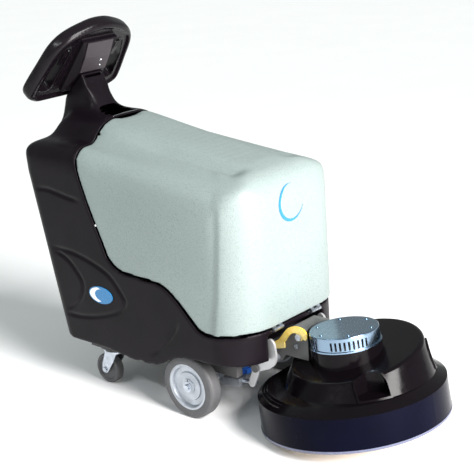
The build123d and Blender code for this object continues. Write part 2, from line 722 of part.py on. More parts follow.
def actuator_body():
    body = box(10, 78, -19, 19, -13, 13)
    body = soften(body, body.edges().filter_by(Axis.X), 3)
    grooves = [box(20, 80, y - 1.5, y + 1.5, 10, 14) for y in (-13, -6.5, 0, 6.5, 13)]
    teeth = [box(72, 80, y - 1.5, y + 1.5, -14, -8) for y in (-13, -6.5, 0, 6.5, 13)]
    ear = cyl_y(9, 0, 0, -8, 8) + box(0, 11, -8, 8, -9, 9)
    body = body - grooves - teeth + ear
    body = body - cyl_y(5 + RUN, 0, 0, -20, 20) - cyl_x(6 + RUN, 0, 0, 28, 90)
    return along_actuator(body)


def actuator_rod():
    end = ACTUATOR_LENGTH
    rod = cyl_x(6, 0, 0, 38, end - 8) + cyl_y(10.5, end, 0, -6, 5.8)
    return along_actuator(rod - cyl_y(5.6, end, 0, -20, 20))


def actuator_mount_plate():
    """Cross plate under the right-hand rail, with the ears that hold the actuator's pin."""
    x, z = ACTUATOR_PIN
    plate = box(x - 16, x + 18, -RAIL_OUT, -60, RAIL_LOW - 5, RAIL_LOW)
    mount = plate
    for y in (ACTUATOR_Y - 12, ACTUATOR_Y + 8.5):
        mount = mount + box(x - 10, x + 5, y, y + 3.5, z - 10, RAIL_LOW - 4)
    return mount + cyl_y(5, x, z, ACTUATOR_Y - 16, ACTUATOR_Y + 16)


def head_hinge_brackets():
    """Side plates from the frame's front cross member to the head's hinge pin."""
    px, pz = HEAD_PIVOT
    points = [(-312, 162), (-312, RAIL_TOP), (-292, RAIL_TOP), (px + 6, pz + 14), (px + 14, pz - 2),
              (px + 4, pz - 14)]
    plate = side_plate(points, 103, 117)
    pin = cyl_y(8, px, pz, 102, 131) + cyl_y(13, px, pz, 127, 133)
    side = plate + pin
    return both(side)


def cable_connector():
    """Two-pole power connector clipped under the cross plate."""
    return box(-400, -352, -90, -64, 112, RAIL_LOW - 5) + box(-352, -340, -87, -67, 115, 130)


def head_power_cables():
    """The pair of leads from the connector, back under the frame and up to the controller."""
    leads = []
    for y in (-83, -71):
        start = (-400, y, 122.5)
        path = FilletPolyline(start, (-434, y, 122.5), (-434, y, 150), (-930, y, 150), (-930, y, RAIL_TOP),
                              radius=10)
        leads.append(sweep(Plane(start, z_dir=(-1, 0, 0)) * Circle(4), path=path))
    return Compound(children=leads)


# ---------------------------------------------------------------- hood fittings


def hood_hinge_brackets():
    """Knuckles on the roof of the front recess, and the pins through them."""
    ax, az = HOOD_AXIS
    plate = box(-270, -212, 66, 114, RECESS_TOP + SHELL, RECESS_TOP + SHELL + 3)
    knuckle = cyl_y(6, ax, az, 84, 96) + box(-214, ax, 84, 96, az - 6, az - 1)
    pin = cyl_y(3, ax, az, 68, 112)
    return both(plate + knuckle + pin)


def hood_hinge_straps():
    """Straps inside the hood's front, each with two knuckles on the hinge pin."""
    ax, az = HOOD_AXIS
    strap = box(-208.5, -205, 66, 114, 309, 352)
    for y in (68, 97):
        strap = strap + cyl_y(6, ax, az, y, y + 15) + box(-208.5, -205, y, y + 15, az, 310)
        strap = strap + box(-208.5, ax, y, y + 15, az - 2, 304)
    strap = strap - cyl_y(3 + RUN, ax, az, 50, 130)
    return both(strap)


def hood_emblem():
    """Thin raised crescent on the hood's front."""
    skin = Pos(1.2, 0, 0) * hood_outer() - hood_outer()
    crescent = cyl_x(56, -2, 657, -260, -150) - cyl_x(52, 3.5, 660, -260, -150)
    return skin & crescent


# ---------------------------------------------------------------- handle and console


def loop_outline():
    """The handle's outline on its own plane, as (u, Y): wider at the operator's end."""
    side = [
        Spline((-141, 134), (-129, 172), (-92, 196), tangents=[(0, 1), (1, 0)]),
        Spline((-92, 196), (14, 181), (89, 164), (130, 132), (163, 66), (176, 0), tangents=[(1, -0.05), (0, -1)]),
    ]
    other = [mirror(edge, Plane.XZ) for edge in side]
    return make_face([Line((-141, -134), (-141, 134))] + side + other)


def handle_loop():
    plate = extrude(Plane((0, 0, HANDLE_LOW)) * loop_outline(), HANDLE_HIGH - HANDLE_LOW)
    rims = plate.edges().group_by(Axis.Z)
    plate = soften(plate, list(rims[0]) + list(rims[-1]), 18)
    hole = make_face(Polyline((-92, 112), (-88, 158), (10, 148), (84, 124), (102, 92), close=True))
    hole = fillet(hole.vertices(), 12)
    grip = extrude(Plane((0, 0, -60)) * hole, 120)
    loop = plate - grip - mirrored(grip)
    loop = loop - box(POD_UNDER[0][0], POD_UNDER[-1][0], -POD_HALF, POD_HALF, -60, 80)
    return in_handle(loop)


def console_housing():
    """The pod set into the handle: an open-topped tray behind the column."""
    return in_handle(pod_solid(0) - pod_solid(3))


def console_front_cover():
    """Folded cover panel on the pod's forward underside."""
    outline = [(6, -41), (63, -34), (114, -21)]
    lower = [(u, w - 5) for u, w in reversed(outline)]
    cover = side_plate(outline + lower, -54, 54)
    cover = cover - pod_solid(0)
    return in_handle(cover)


def control_panel():
    panel = box(-95, 118, -POD_HALF, POD_HALF, POD_TOP, POD_TOP + 4)
    panel = fillet(panel.edges().filter_by(Axis.Z), 3)
    u, y = KNOB_UY
    return in_handle(panel - cyl_z(3 + RUN, u, y, POD_TOP - 1, POD_TOP + 5))


PANEL_W = POD_TOP + 4


def battery_gauge():
    """Round charge gauge and the hour meter beside it."""
    bezel = cyl_z(27, 72, 26, PANEL_W, PANEL_W + 5) - cyl_z(23, 72, 26, PANEL_W + 2, PANEL_W + 6)
    needle = Pos(72, 26, 0) * Rot(0, 0, 35) * box(-2, 17, -1, 1, PANEL_W + 1.5, PANEL_W + 3)
    meter = box(34, 52, 8, 46, PANEL_W, PANEL_W + 3) - box(37, 49, 11, 43, PANEL_W + 2, PANEL_W + 4)
    return in_handle(Compound(children=[bezel + needle, meter]))


KEY_UY = (78.0, -40.0)
KNOB_UY = (2.0, 38.0)
ROCKER_UY = (10.0, -36.0)
BUTTON_UY = (-52.0, 0.0)


def key_switch():
    u, y = KEY_UY
    barrel = cyl_z(13, u, y, PANEL_W, PANEL_W + 3) + cyl_z(9, u, y, PANEL_W + 3, PANEL_W + 7)
    return in_handle(barrel - cyl_z(7.3, u, y, PANEL_W + 5, PANEL_W + 9))


def ignition_key():
    u, y = KEY_UY
    blade = cyl_z(7, u, y, PANEL_W + 5.2, PANEL_W + 9)
    bow = box(u - 1.5, u + 1.5, y - 9, y + 9, PANEL_W + 8, PANEL_W + 30)
    return in_handle(blade + bow)


def speed_knob():
    u, y = KNOB_UY
    knob = cyl_z(15, u, y, PANEL_W + 0.3, PANEL_W + 14)
    knob = soften(knob, knob.edges().group_by(Axis.Z)[-1], 2)
    grips = [Pos(u, y, 0) * Rot(0, 0, a) * Pos(16.5, 0, 0) * cyl_z(2.6, 0, 0, 0, 60) for a in range(0, 360, 30)]
    return in_handle(knob - grips + cyl_z(3, u, y, POD_TOP + 0.5, PANEL_W + 1))


def head_rocker():
    """Rocker that raises and lowers the head, tipping about its middle."""
    u, y = ROCKER_UY
    points = [(u - 17, PANEL_W + 9), (u, PANEL_W + 6.5), (u + 17, PANEL_W + 9), (u + 14, PANEL_W + 4.2),
              (u - 14, PANEL_W + 4.2)]
    axle = cyl_y(1.5, u, PANEL_W + 5, y - 9.4, y + 9.4)
    return in_handle(side_plate(points, y - 9, y + 9) + axle)


def rocker_frame():
    u, y = ROCKER_UY
    frame = box(u - 22, u + 22, y - 13, y + 13, PANEL_W, PANEL_W + 5)
    frame = frame - box(u - 18.5, u + 18.5, y - 9.6, y + 9.6, PANEL_W + 1, PANEL_W + 6)
    return in_handle(frame)


def stop_button():
    """Mushroom button, pressed down into its collar."""
    u, y = BUTTON_UY
    cap = cyl_z(19, u, y, PANEL_W + 12, PANEL_W + 20)
    cap = soften(cap, cap.edges().group_by(Axis.Z)[-1], 4)
    return in_handle(cap + cyl_z(8, u, y, PANEL_W + 6, PANEL_W + 12))


def button_collar():
    u, y = BUTTON_UY
    collar = cyl_z(16, u, y, PANEL_W, PANEL_W + 6.5) - cyl_z(8 + RUN, u, y, PANEL_W + 0.5, PANEL_W + 9)
    return in_handle(collar)


LEVER_HINGE = (70.0, 0.0)


def drive_lever(side):
    """Finger lever in a hand-hole, hinged on a pin from the pod's side web."""
    u, w = LEVER_HINGE
    points = [(u + 5, w + 5), (u + 5, w - 5), (u - 20, w - 7), (u - 56, w - 3), (u - 58, w + 1), (u - 20, w + 1)]
    paddle = side_plate(points, 103, 120)
    lever = paddle - cyl_y(3 + RUN, u, w, 80, 130)
    return in_handle(lever if side > 0 else mirrored(lever))


def lever_pins():
    u, w = LEVER_HINGE
    pin = cyl_y(3, u, w, 88, 123)
    return in_handle(both(pin)) - handle_loop()


# ---------------------------------------------------------------- output


def save(shape, name):
    """Moves a piece into the machine's frame and writes its STEP file."""
    solids = [Pos(-MID_LENGTH_X, 0, 0) * solid for solid in shape.solids()]
    export_step(solids[0] if len(solids) == 1 else Compound(solids), f"parts/{name}.step")


def main():
    os.makedirs("parts", exist_ok=True)
    save(body_shell(), "body_shell")
    save(oval_badge(), "oval_badge")
    save(chassis_frame(), "chassis_frame")
    save(battery_deck(), "battery_deck")
    for i, x in enumerate(BATTERY_X):
        save(battery(x), f"battery_{i + 1}")
    save(battery_strap(), "battery_strap")
    save(battery_jumper_cables(), "battery_jumper_cables")
    save(motor_controller(), "motor_controller")
    save(transaxle_gearbox(), "transaxle_gearbox")
    save(drive_motor(), "drive_motor")
    for name, side in SIDES:
        save(tyre(side), f"{name}_tyre")
        save(rim(side), f"{name}_rim")
        save(half_shaft(side), f"{name}_half_shaft")
        save(caster_fork(side), f"{name}_caster_fork")
        save(caster_wheel(side), f"{name}_caster_wheel")
        save(drive_lever(side), f"{name}_drive_lever")
    save(hood(), "hood")
    save(hood_emblem(), "hood_emblem")
    save(hood_hinge_brackets(), "hood_hinge_brackets")
    save(hood_hinge_straps(), "hood_hinge_straps")
    save(shroud(), "shroud")
    save(skirt(), "skirt")
    save(skirt_trim(), "skirt_trim")
    save(motor_plate(), "motor_plate")
    save(motor_housing(), "motor_housing")
    save(motor_cap(), "motor_cap")
    save(lift_arms(), "lift_arms")
    save(pivot_block(), "pivot_block")
    save(pivot_bolts(), "pivot_bolts")
    save(latch_lever(), "latch_lever")
    save(pad_driver(), "pad_driver")
    save(burnishing_pad(), "burnishing_pad")
    save(pad_retainer(), "pad_retainer")
    save(actuator_body(), "actuator_body")
    save(actuator_rod(), "actuator_rod")
    save(actuator_mount_plate(), "actuator_mount_plate")
    save(head_hinge_brackets(), "head_hinge_brackets")
    save(cable_connector(), "cable_connector")
    save(head_power_cables(), "head_power_cables")
    save(handle_loop(), "handle_loop")
    save(console_housing(), "console_housing")
    save(console_front_cover(), "console_front_cover")
    save(control_panel(), "control_panel")
    save(battery_gauge(), "battery_gauge")
    save(key_switch(), "key_switch")
    save(ignition_key(), "ignition_key")
    save(speed_knob(), "speed_knob")
    save(rocker_frame(), "rocker_frame")
    save(head_rocker(), "head_rocker")
    save(button_collar(), "button_collar")
    save(stop_button(), "stop_button")
    save(lever_pins(), "lever_pins")


if __name__ == "__main__":
    main()
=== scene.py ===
"""High speed floor burnisher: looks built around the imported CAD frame, in metres."""

import json
import math

import bpy
import numpy as np
from mathutils import Matrix, Vector


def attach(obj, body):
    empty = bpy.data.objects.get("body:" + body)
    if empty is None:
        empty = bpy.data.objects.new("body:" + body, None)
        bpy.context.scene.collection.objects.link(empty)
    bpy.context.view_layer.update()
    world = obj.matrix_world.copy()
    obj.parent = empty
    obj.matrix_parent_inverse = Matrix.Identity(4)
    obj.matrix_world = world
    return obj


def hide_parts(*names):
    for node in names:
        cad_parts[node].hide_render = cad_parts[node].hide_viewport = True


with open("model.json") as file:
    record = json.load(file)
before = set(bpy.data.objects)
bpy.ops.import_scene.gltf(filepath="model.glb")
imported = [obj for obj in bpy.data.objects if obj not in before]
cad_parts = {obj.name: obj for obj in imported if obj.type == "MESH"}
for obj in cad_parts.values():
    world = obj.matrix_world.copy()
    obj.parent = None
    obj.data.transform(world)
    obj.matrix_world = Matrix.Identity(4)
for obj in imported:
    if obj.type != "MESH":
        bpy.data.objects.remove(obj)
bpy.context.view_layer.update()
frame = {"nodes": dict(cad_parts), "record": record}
nodes = frame["nodes"]
scene = bpy.context.scene

# The head's axis stands at X = 0 in the design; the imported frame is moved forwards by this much.
SHIFT = 0.43445


# ---------------------------------------------------------------- small tools


def smoothstep(a, b, x):
    t = np.clip((x - a) / (b - a), 0.0, 1.0)
    return t * t * (3 - 2 * t)


def coords(mesh):
    co = np.empty(len(mesh.vertices) * 3)
    mesh.vertices.foreach_get("co", co)
    return co.reshape(-1, 3)


def set_coords(mesh, co):
    mesh.vertices.foreach_set("co", co.ravel())
    mesh.update()


def vertex_normals(mesh):
    no = np.empty(len(mesh.vertices) * 3)
    mesh.vertices.foreach_get("normal", no)
    return no.reshape(-1, 3)


def edges(mesh):
    ed = np.empty(len(mesh.edges) * 2, dtype=np.int64)
    mesh.edges.foreach_get("vertices", ed)
    return ed.reshape(-1, 2)


def relax(mesh, weight, passes):
    """Moves each vertex towards the middle of its neighbours, by its own weight."""
    co = coords(mesh)
    ed = edges(mesh)
    count = np.bincount(ed.ravel(), minlength=len(co))[:, None]
    for _ in range(passes):
        total = np.zeros_like(co)
        for axis in range(3):
            total[:, axis] = (np.bincount(ed[:, 0], co[ed[:, 1], axis], len(co))
                              + np.bincount(ed[:, 1], co[ed[:, 0], axis], len(co)))
        co = co + weight[:, None] * 0.5 * (total / np.maximum(count, 1) - co)
    set_coords(mesh, co)


def add_object(name, mesh, material, body, smooth=True):
    obj = bpy.data.objects.new(name, mesh)
    scene.collection.objects.link(obj)
    if smooth:
        mesh.polygons.foreach_set("use_smooth", [True] * len(mesh.polygons))
    obj.data.materials.clear()
    obj.data.materials.append(material)
    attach(obj, body)
    return obj


def skin(node, voxel, passes=2, reshape=None):
    """A finely remeshed copy of a CAD node's shape, with its corners eased."""
    source = nodes[node]
    temp = bpy.data.objects.new(node + "_temp", source.data.copy())
    if reshape:
        reshape(temp.data)
    scene.collection.objects.link(temp)
    remesh = temp.modifiers.new("remesh", "REMESH")
    remesh.mode = "VOXEL"
    remesh.voxel_size = voxel
    depsgraph = bpy.context.evaluated_depsgraph_get()
    mesh = bpy.data.meshes.new_from_object(temp.evaluated_get(depsgraph))
    bpy.data.objects.remove(temp)
    relax(mesh, np.ones(len(mesh.vertices)), passes)
    return mesh


def polyline_distance(points, line):
    """Distance of each point from a polyline, both in X and Z."""
    best = np.full(len(points), 1e9)
    for a, b in zip(line[:-1], line[1:]):
        a, b = np.array(a), np.array(b)
        ab = b - a
        t = np.clip(((points - a) @ ab) / (ab @ ab), 0, 1)
        best = np.minimum(best, np.linalg.norm(points - (a + t[:, None] * ab), axis=1))
    return best


def curve_points(points, steps=8):
    """A smooth line through points given in millimetres, in metres."""
    p = np.array(points, float) / 1000
    p = np.vstack([2 * p[0] - p[1], p, 2 * p[-1] - p[-2]])
    out = []
    for i in range(1, len(p) - 2):
        for t in np.linspace(0, 1, steps, endpoint=False):
            out.append(0.5 * (2 * p[i] + (p[i + 1] - p[i - 1]) * t
                              + (2 * p[i - 1] - 5 * p[i] + 4 * p[i + 1] - p[i + 2]) * t * t
                              + (3 * p[i] - p[i - 1] - 3 * p[i + 1] + p[i + 2]) * t ** 3))
    out.append(p[-2])
    return np.array(out)


# ---------------------------------------------------------------- materials


def material(name, colour, rough, metallic=0.0, coat=0.0, coat_rough=0.1, vary=0.08, vary_scale=9.0,
             speckle=None, speckle_scale=900.0, rough_vary=0.06, bump=0.0, bump_scale=1200.0,
             brushed=None, sheen=0.0, wear=None, specular=0.5):
    """A procedural finish: broad tone change, speckle, roughness change, fine bump and edge wear."""
    mat = bpy.data.materials.new(name)
    mat.use_nodes = True
    tree = mat.node_tree
    link = tree.links.new
    shader = tree.nodes["Principled BSDF"]
    shader.inputs["Roughness"].default_value = rough
    shader.inputs["Metallic"].default_value = metallic
    shader.inputs["Coat Weight"].default_value = coat
    shader.inputs["Coat Roughness"].default_value = coat_rough
    shader.inputs["Sheen Weight"].default_value = sheen
    shader.inputs["Specular IOR Level"].default_value = specular
    place = tree.nodes.new("ShaderNodeTexCoord")

    def noise(scale, detail=4.0, stretch=None):
        node = tree.nodes.new("ShaderNodeTexNoise")
        node.inputs["Scale"].default_value = scale
        node.inputs["Detail"].default_value = detail
        if stretch:
            mapping = tree.nodes.new("ShaderNodeMapping")
            mapping.inputs["Scale"].default_value = stretch
            link(place.outputs["Object"], mapping.inputs["Vector"])
            link(mapping.outputs["Vector"], node.inputs["Vector"])
        else:
            link(place.outputs["Object"], node.inputs["Vector"])
        return node.outputs["Fac"]

    def ramp(source, stops):
        node = tree.nodes.new("ShaderNodeValToRGB")
        elements = node.color_ramp.elements
        while len(elements) < len(stops):
            elements.new(0.5)
        for element, (position, tone) in zip(elements, stops):
            element.position = position
            element.color = (*tone, 1)
        link(source, node.inputs["Fac"])
        return node.outputs["Color"]

    def mix(fac, a, b):
        node = tree.nodes.new("ShaderNodeMix")
        node.data_type = "RGBA"
        link(fac, node.inputs["Factor"])
        link(a, node.inputs["A"])
        link(b, node.inputs["B"])
        return node.outputs["Result"]

    dark = tuple(c * (1 - vary) for c in colour)
    light = tuple(min(c * (1 + vary), 1) for c in colour)
    tone = ramp(noise(vary_scale), [(0.3, dark), (0.7, light)])
    if speckle:
        spots = ramp(noise(speckle_scale, 1.0), [(0.56, (0, 0, 0)), (0.66, (1, 1, 1))])
        fleck = tree.nodes.new("ShaderNodeRGB")
        fleck.outputs[0].default_value = (*speckle, 1)
        tone = mix(spots, tone, fleck.outputs[0])
    if wear:
        geometry = tree.nodes.new("ShaderNodeNewGeometry")
        edge = ramp(geometry.outputs["Pointiness"], [(0.53, (0, 0, 0)), (0.60, (0.7, 0.7, 0.7))])
        rubbed = tree.nodes.new("ShaderNodeRGB")
        rubbed.outputs[0].default_value = (*wear, 1)
        tone = mix(edge, tone, rubbed.outputs[0])
    link(tone, shader.inputs["Base Color"])
    low, high = max(rough - rough_vary, 0.03), min(rough + rough_vary, 1.0)
    grain = noise(vary_scale * 7, 3.0, brushed)
    link(ramp(grain, [(0.3, (low,) * 3), (0.7, (high,) * 3)]), shader.inputs["Roughness"])
    if bump:
        relief = tree.nodes.new("ShaderNodeBump")
        relief.inputs["Strength"].default_value = bump
        relief.inputs["Distance"].default_value = 0.0004
        link(noise(bump_scale, 3.0, brushed), relief.inputs["Height"])
        link(relief.outputs["Normal"], shader.inputs["Normal"])
    return mat


MAT = {
    "body_black": material("moulded_black", (0.0052, 0.0036, 0.0054), 0.36, vary=0.25, bump=0.12,
                           bump_scale=1500, specular=0.11),
    "hood_grey": material("granite_mint", (0.232, 0.282, 0.272), 0.42, vary=0.035, vary_scale=5,
                          speckle=(0.165, 0.205, 0.20), speckle_scale=420, bump=0.06,
                          bump_scale=900, specular=0.35),
    "badge_blue": material("badge_blue", (0.010, 0.17, 0.40), 0.25, coat=0.3, vary=0.03),
    "badge_white": material("badge_white", (0.80, 0.83, 0.85), 0.3, coat=0.2, vary=0.03),
    "frame_black": material("powder_black", (0.02, 0.02, 0.022), 0.5, vary=0.15, bump=0.25, bump_scale=700,
                            wear=(0.10, 0.10, 0.10)),
    "zinc": material("zinc_plate", (0.50, 0.54, 0.60), 0.33, metallic=1.0, vary=0.18, vary_scale=45,
                     rough_vary=0.12, bump=0.1, bump_scale=300),
    "arm_grey": material("arm_grey", (0.30, 0.33, 0.37), 0.4, metallic=0.6, vary=0.12, bump=0.1,
                         wear=(0.6, 0.6, 0.6)),
    "battery_case": material("battery_case", (0.03, 0.03, 0.035), 0.4, vary=0.1, bump=0.15, bump_scale=800),
    "cable_black": material("cable_sleeve", (0.012, 0.012, 0.013), 0.45, vary=0.1, bump=0.1, bump_scale=1500),
    "cast_alloy": material("cast_alloy", (0.42, 0.45, 0.49), 0.42, metallic=0.85, vary=0.14, vary_scale=30,
                           rough_vary=0.12, bump=0.3, bump_scale=900),
    "cap_alloy": material("spun_alloy", (0.22, 0.31, 0.41), 0.22, metallic=1.0, vary=0.06, vary_scale=25,
                          rough_vary=0.08, bump=0.05, bump_scale=500, brushed=(1, 1, 14)),
    "tyre_grey": material("tyre_grey", (0.074, 0.075, 0.079), 0.62, vary=0.1, vary_scale=30, bump=0.25,
                          bump_scale=900, speckle=(0.10, 0.10, 0.10), speckle_scale=400),
    "shroud_black": material("shroud_gloss", (0.003, 0.0022, 0.003), 0.16, vary=0.15,
                             rough_vary=0.04, bump=0.02, bump_scale=60, specular=0.10),
    "skirt_navy": material("skirt_navy", (0.0004, 0.0007, 0.006), 0.16, vary=0.2,
                           rough_vary=0.05, bump=0.03, bump_scale=50, specular=0.05),
    # The skirt trim's pale blue-grey is partly the trim's own colour and partly a painted highlight along the
    # skirt's lower edge.
    "trim_light": material("skirt_trim", (0.10, 0.11, 0.17), 0.25, vary=0.1, bump=0.05),
    "alloy_black": material("black_casting", (0.012, 0.012, 0.013), 0.38, vary=0.2, bump=0.3, bump_scale=700,
                            wear=(0.15, 0.15, 0.15)),
    "latch_yellow": material("latch_yellow", (0.80, 0.52, 0.02), 0.28, coat=0.3, vary=0.08, bump=0.05,
                             wear=(0.9, 0.75, 0.3)),
    "driver_white": material("pad_driver", (0.45, 0.45, 0.43), 0.5, vary=0.08, bump=0.2),
    "pad_fibre": material("pad_fibre", (0.62, 0.50, 0.36), 0.9, vary=0.25, vary_scale=60, bump=1.0,
                          bump_scale=500, speckle=(0.85, 0.78, 0.66), speckle_scale=700, sheen=0.2),
    "connector_blue": material("connector_blue", (0.02, 0.10, 0.42), 0.4, vary=0.08, bump=0.1),
    "handle_black": material("handle_black", (0.005, 0.0035, 0.005), 0.24, coat=0.06, coat_rough=0.12,
                             vary=0.2, bump=0.05, bump_scale=1500, specular=0.18),
    "cover_grey": material("cover_satin", (0.032, 0.026, 0.031), 0.42, vary=0.1, bump=0.15, bump_scale=1400),
    "panel_grey": material("panel_overlay", (0.03, 0.03, 0.034), 0.4, vary=0.08, bump=0.1, bump_scale=1200),
    "control_black": material("control_black", (0.015, 0.015, 0.016), 0.35, vary=0.1, bump=0.1),
    "stop_red": material("stop_red", (0.55, 0.012, 0.01), 0.22, coat=0.5, vary=0.05),
    "chrome_part": material("chrome_part", (0.75, 0.76, 0.78), 0.1, metallic=1.0, vary=0.04, rough_vary=0.05),
}

for part in frame["record"]["subparts"]:
    data = nodes[part["node"]].data
    data.materials.clear()
    data.materials.append(MAT[part["material_slot"]])


# ---------------------------------------------------------------- moulded shapes


def mm(x, y, z):
    """A point of the design, given in millimetres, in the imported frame."""
    return Vector((x / 1000 + SHIFT, y / 1000, z / 1000))


HANDLE_ORIGIN = (-1036.5, 0.0, 1020.0)
HANDLE_TILT = math.radians(49.6)


def on_handle(u, y, w):
    """A point given along the handle's plane (u), across (y) and off it (w), in millimetres."""
    x = HANDLE_ORIGIN[0] + u * math.cos(HANDLE_TILT) - w * math.sin(HANDLE_TILT)
    z = HANDLE_ORIGIN[2] + u * math.sin(HANDLE_TILT) + w * math.cos(HANDLE_TILT)
    return mm(x, y, z)


# The hood's crease between its side panels and its proud front block: heights, and X at each height.
CREASE_Z = (0.293, 0.414, 0.597, 0.685, 0.733, 0.762)
CREASE_X = (-0.324, -0.304, -0.286, -0.281, -0.295, -0.360)
CREASE_SOFTNESS = 0.015
PANEL_RECESS = 0.0028
CREASE_RECESS = 0.0062
CREASE_REACH = 0.07
VALLEY_Y = 0.122
VALLEY_DEPTH = 0.017
VALLEY_OUTER_WIDTH = 0.022
VALLEY_INNER_WIDTH = 0.027
SCOOP_DEPTH = 0.010
CREST_SHIFT = 0.006
HOOD_VOXEL = 0.0045


def thicken_crest(mesh):
    """Moves the hood's inner wall away from its rounded top front edge."""
    co, no = coords(mesh), vertex_normals(mesh)
    centre = np.array(mm(-530, 0, 550))
    to_centre = centre - co
    to_centre /= np.linalg.norm(to_centre, axis=1)[:, None]
    inner = (np.einsum("ij,ij->i", no, to_centre) > 0.2) & (co[:, 0] - SHIFT > -0.33) & (co[:, 2] > 0.66)
    co[inner] += CREST_SHIFT * to_centre[inner]
    set_coords(mesh, co)


def recess_panels(co, no):
    """Sets the side panels in behind the crease, deepest next to it."""
    x, y, z = co[:, 0] - SHIFT, co[:, 1], co[:, 2]
    behind = np.interp(z, CREASE_Z, CREASE_X) - x
    deeper = CREASE_RECESS * np.exp(-np.clip(behind, 0, 1) / CREASE_REACH)
    recess = smoothstep(-CREASE_SOFTNESS, CREASE_SOFTNESS, behind) * (PANEL_RECESS + deeper)
    rear_fade = smoothstep(0.0, 0.10, x + 0.83)
    co[:, 1] -= np.sign(y) * recess * np.abs(no[:, 1]) * (0.4 + 0.6 * rear_fade)


def sink_valleys(co, no):
    """Sinks a valley along each side of the roof's ridge, ending behind the front block."""
    x, y = co[:, 0] - SHIFT, co[:, 1]
    off_valley = np.abs(y) - VALLEY_Y
    width = np.where(off_valley > 0, VALLEY_OUTER_WIDTH, VALLEY_INNER_WIDTH)
    reach = smoothstep(-0.84, -0.55, x) * (1 - smoothstep(-0.300, -0.268, x))
    co[:, 2] -= VALLEY_DEPTH * np.exp(-(off_valley / width) ** 2) * reach * np.abs(no[:, 2])


def press_scoop(co):
    """Presses a shallow finger scoop into the roof's rear edge."""
    x, y, z = co[:, 0] - SHIFT, co[:, 1], co[:, 2]
    scoop = (1 - smoothstep(0.034, 0.060, np.abs(y))) * (1 - smoothstep(-0.858, -0.820, x))
    co[:, 2] -= SCOOP_DEPTH * scoop * smoothstep(0.84, 0.85, z)


def front_weight(co):
    """How much each point of the hood belongs to the rounded top front edge and corners."""
    x, y, z = co[:, 0] - SHIFT, co[:, 1], co[:, 2]
    top_front = smoothstep(-0.32, -0.27, x) * smoothstep(0.66, 0.71, z)
    return top_front * (0.35 + 0.65 * smoothstep(0.10, 0.17, np.abs(y)))


def hood_skin():
    """The hood with its proud front block, creased side panels, deep valleys and finger scoop."""
    mesh = skin("hood", HOOD_VOXEL, passes=3, reshape=thicken_crest)
    co, no = coords(mesh), vertex_normals(mesh)
    recess_panels(co, no)
    sink_valleys(co, no)
    press_scoop(co)
    set_coords(mesh, co)
    relax(mesh, np.full(len(co), 0.8), 10)
    relax(mesh, front_weight(co), 90)
    obj = add_object("hood_skin", mesh, MAT["hood_grey"], "hood_cover")
    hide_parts("hood")


# The handle's outline on its own plane, from the rear edge to the front, in millimetres.
HANDLE_EDGE = [(-141, 0), (-141, 134), (-129, 172), (-92, 196), (14, 181), (89, 164), (130, 132),
               (163, 66), (176, 0)]


RIM_INNER = 0.013
RIM_OUTER = 0.026
DISH_DEPTH = 0.009
HANDLE_VOXEL = 0.003


def handle_skin():
    """The handle with a rolled rim round a dished underside."""
    mesh = skin("handle_loop", HANDLE_VOXEL, passes=3)
    co, no = coords(mesh), vertex_normals(mesh)
    along = np.array((math.cos(HANDLE_TILT), 0, math.sin(HANDLE_TILT)))
    off = np.array((-math.sin(HANDLE_TILT), 0, math.cos(HANDLE_TILT)))
    origin = np.array(mm(*HANDLE_ORIGIN))
    flat = np.stack(((co - origin) @ along, np.abs(co[:, 1])), axis=1)
    inside = polyline_distance(flat, curve_points(HANDLE_EDGE))
    under = np.clip(-(no @ off), 0, 1)
    dish = smoothstep(RIM_INNER, RIM_OUTER, inside) * under
    co += (DISH_DEPTH * dish)[:, None] * off
    set_coords(mesh, co)
    relax(mesh, np.full(len(co), 0.8), 6)
    obj = add_object("handle_skin", mesh, MAT["handle_black"], "chassis")
    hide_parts("handle_loop")


def tube(name, points, radius, mat, body, sides=10, flatten=1.0):
    """A bead swept along points, thinner at its ends; flatten squeezes it across Y."""
    verts, faces = [], []
    count = len(points)
    for i, point in enumerate(points):
        ahead = points[min(i + 1, count - 1)] - points[max(i - 1, 0)]
        ahead = Vector(ahead).normalized()
        first = ahead.cross(Vector((0, 1, 0)))
        if first.length < 0.1:
            first = ahead.cross(Vector((0, 0, 1)))
        first.normalize()
        second = ahead.cross(first).normalized()
        taper = radius * (0.35 + 0.65 * min(1.0, min(i, count - 1 - i) / 4))
        for k in range(sides):
            angle = 2 * math.pi * k / sides
            offset = first * math.cos(angle) * taper + second * math.sin(angle) * taper * flatten
            verts.append(Vector(point) + offset)
    for i in range(count - 1):
        for k in range(sides):
            a, b = i * sides + k, i * sides + (k + 1) % sides
            faces.append((a, b, b + sides, a + sides))
    faces.append(tuple(range(sides))[::-1])
    faces.append(tuple((count - 1) * sides + k for k in range(sides)))
    mesh = bpy.data.meshes.new(name)
    mesh.from_pydata(verts, [], faces)
    obj = add_object(name, mesh, mat, body)


# Creases of the body seen from the side, as X and Z in millimetres.
BODY_CREASES = {
    "wheel_arc": [(-453, 323), (-474, 287), (-513, 240), (-556, 201), (-598, 171)],
    "upper_crease": [(-1069, 658), (-1049, 654), (-1000, 657), (-948, 650), (-892, 641), (-832, 636)],
    "middle_crease": [(-1019, 464), (-980, 463), (-912, 461), (-839, 446), (-773, 424), (-732, 399),
                      (-693, 353), (-683, 332), (-704, 305), (-748, 283), (-821, 260), (-894, 247),
                      (-958, 244), (-982, 246)],
    "inner_crease": [(-1011, 455), (-963, 446), (-927, 428), (-902, 405), (-875, 370), (-875, 336),
                     (-895, 301), (-934, 273), (-976, 251)],
}


CREASE_WIDTH = 0.0062
CREASE_DEPTH = 0.0046
FLANK_Y = 0.236
BODY_VOXEL = 0.0046


def groove_along(points, line, width):
    """The depth, from 0 to 1, of a rounded groove along a line, fading at the line's ends."""
    line = curve_points(line)
    near = polyline_distance(points, line)
    ends = np.minimum(np.linalg.norm(points - line[0], axis=1), np.linalg.norm(points - line[-1], axis=1))
    fade = smoothstep(0.004, 0.05, ends)
    return np.exp(-(near / width) ** 2) * fade


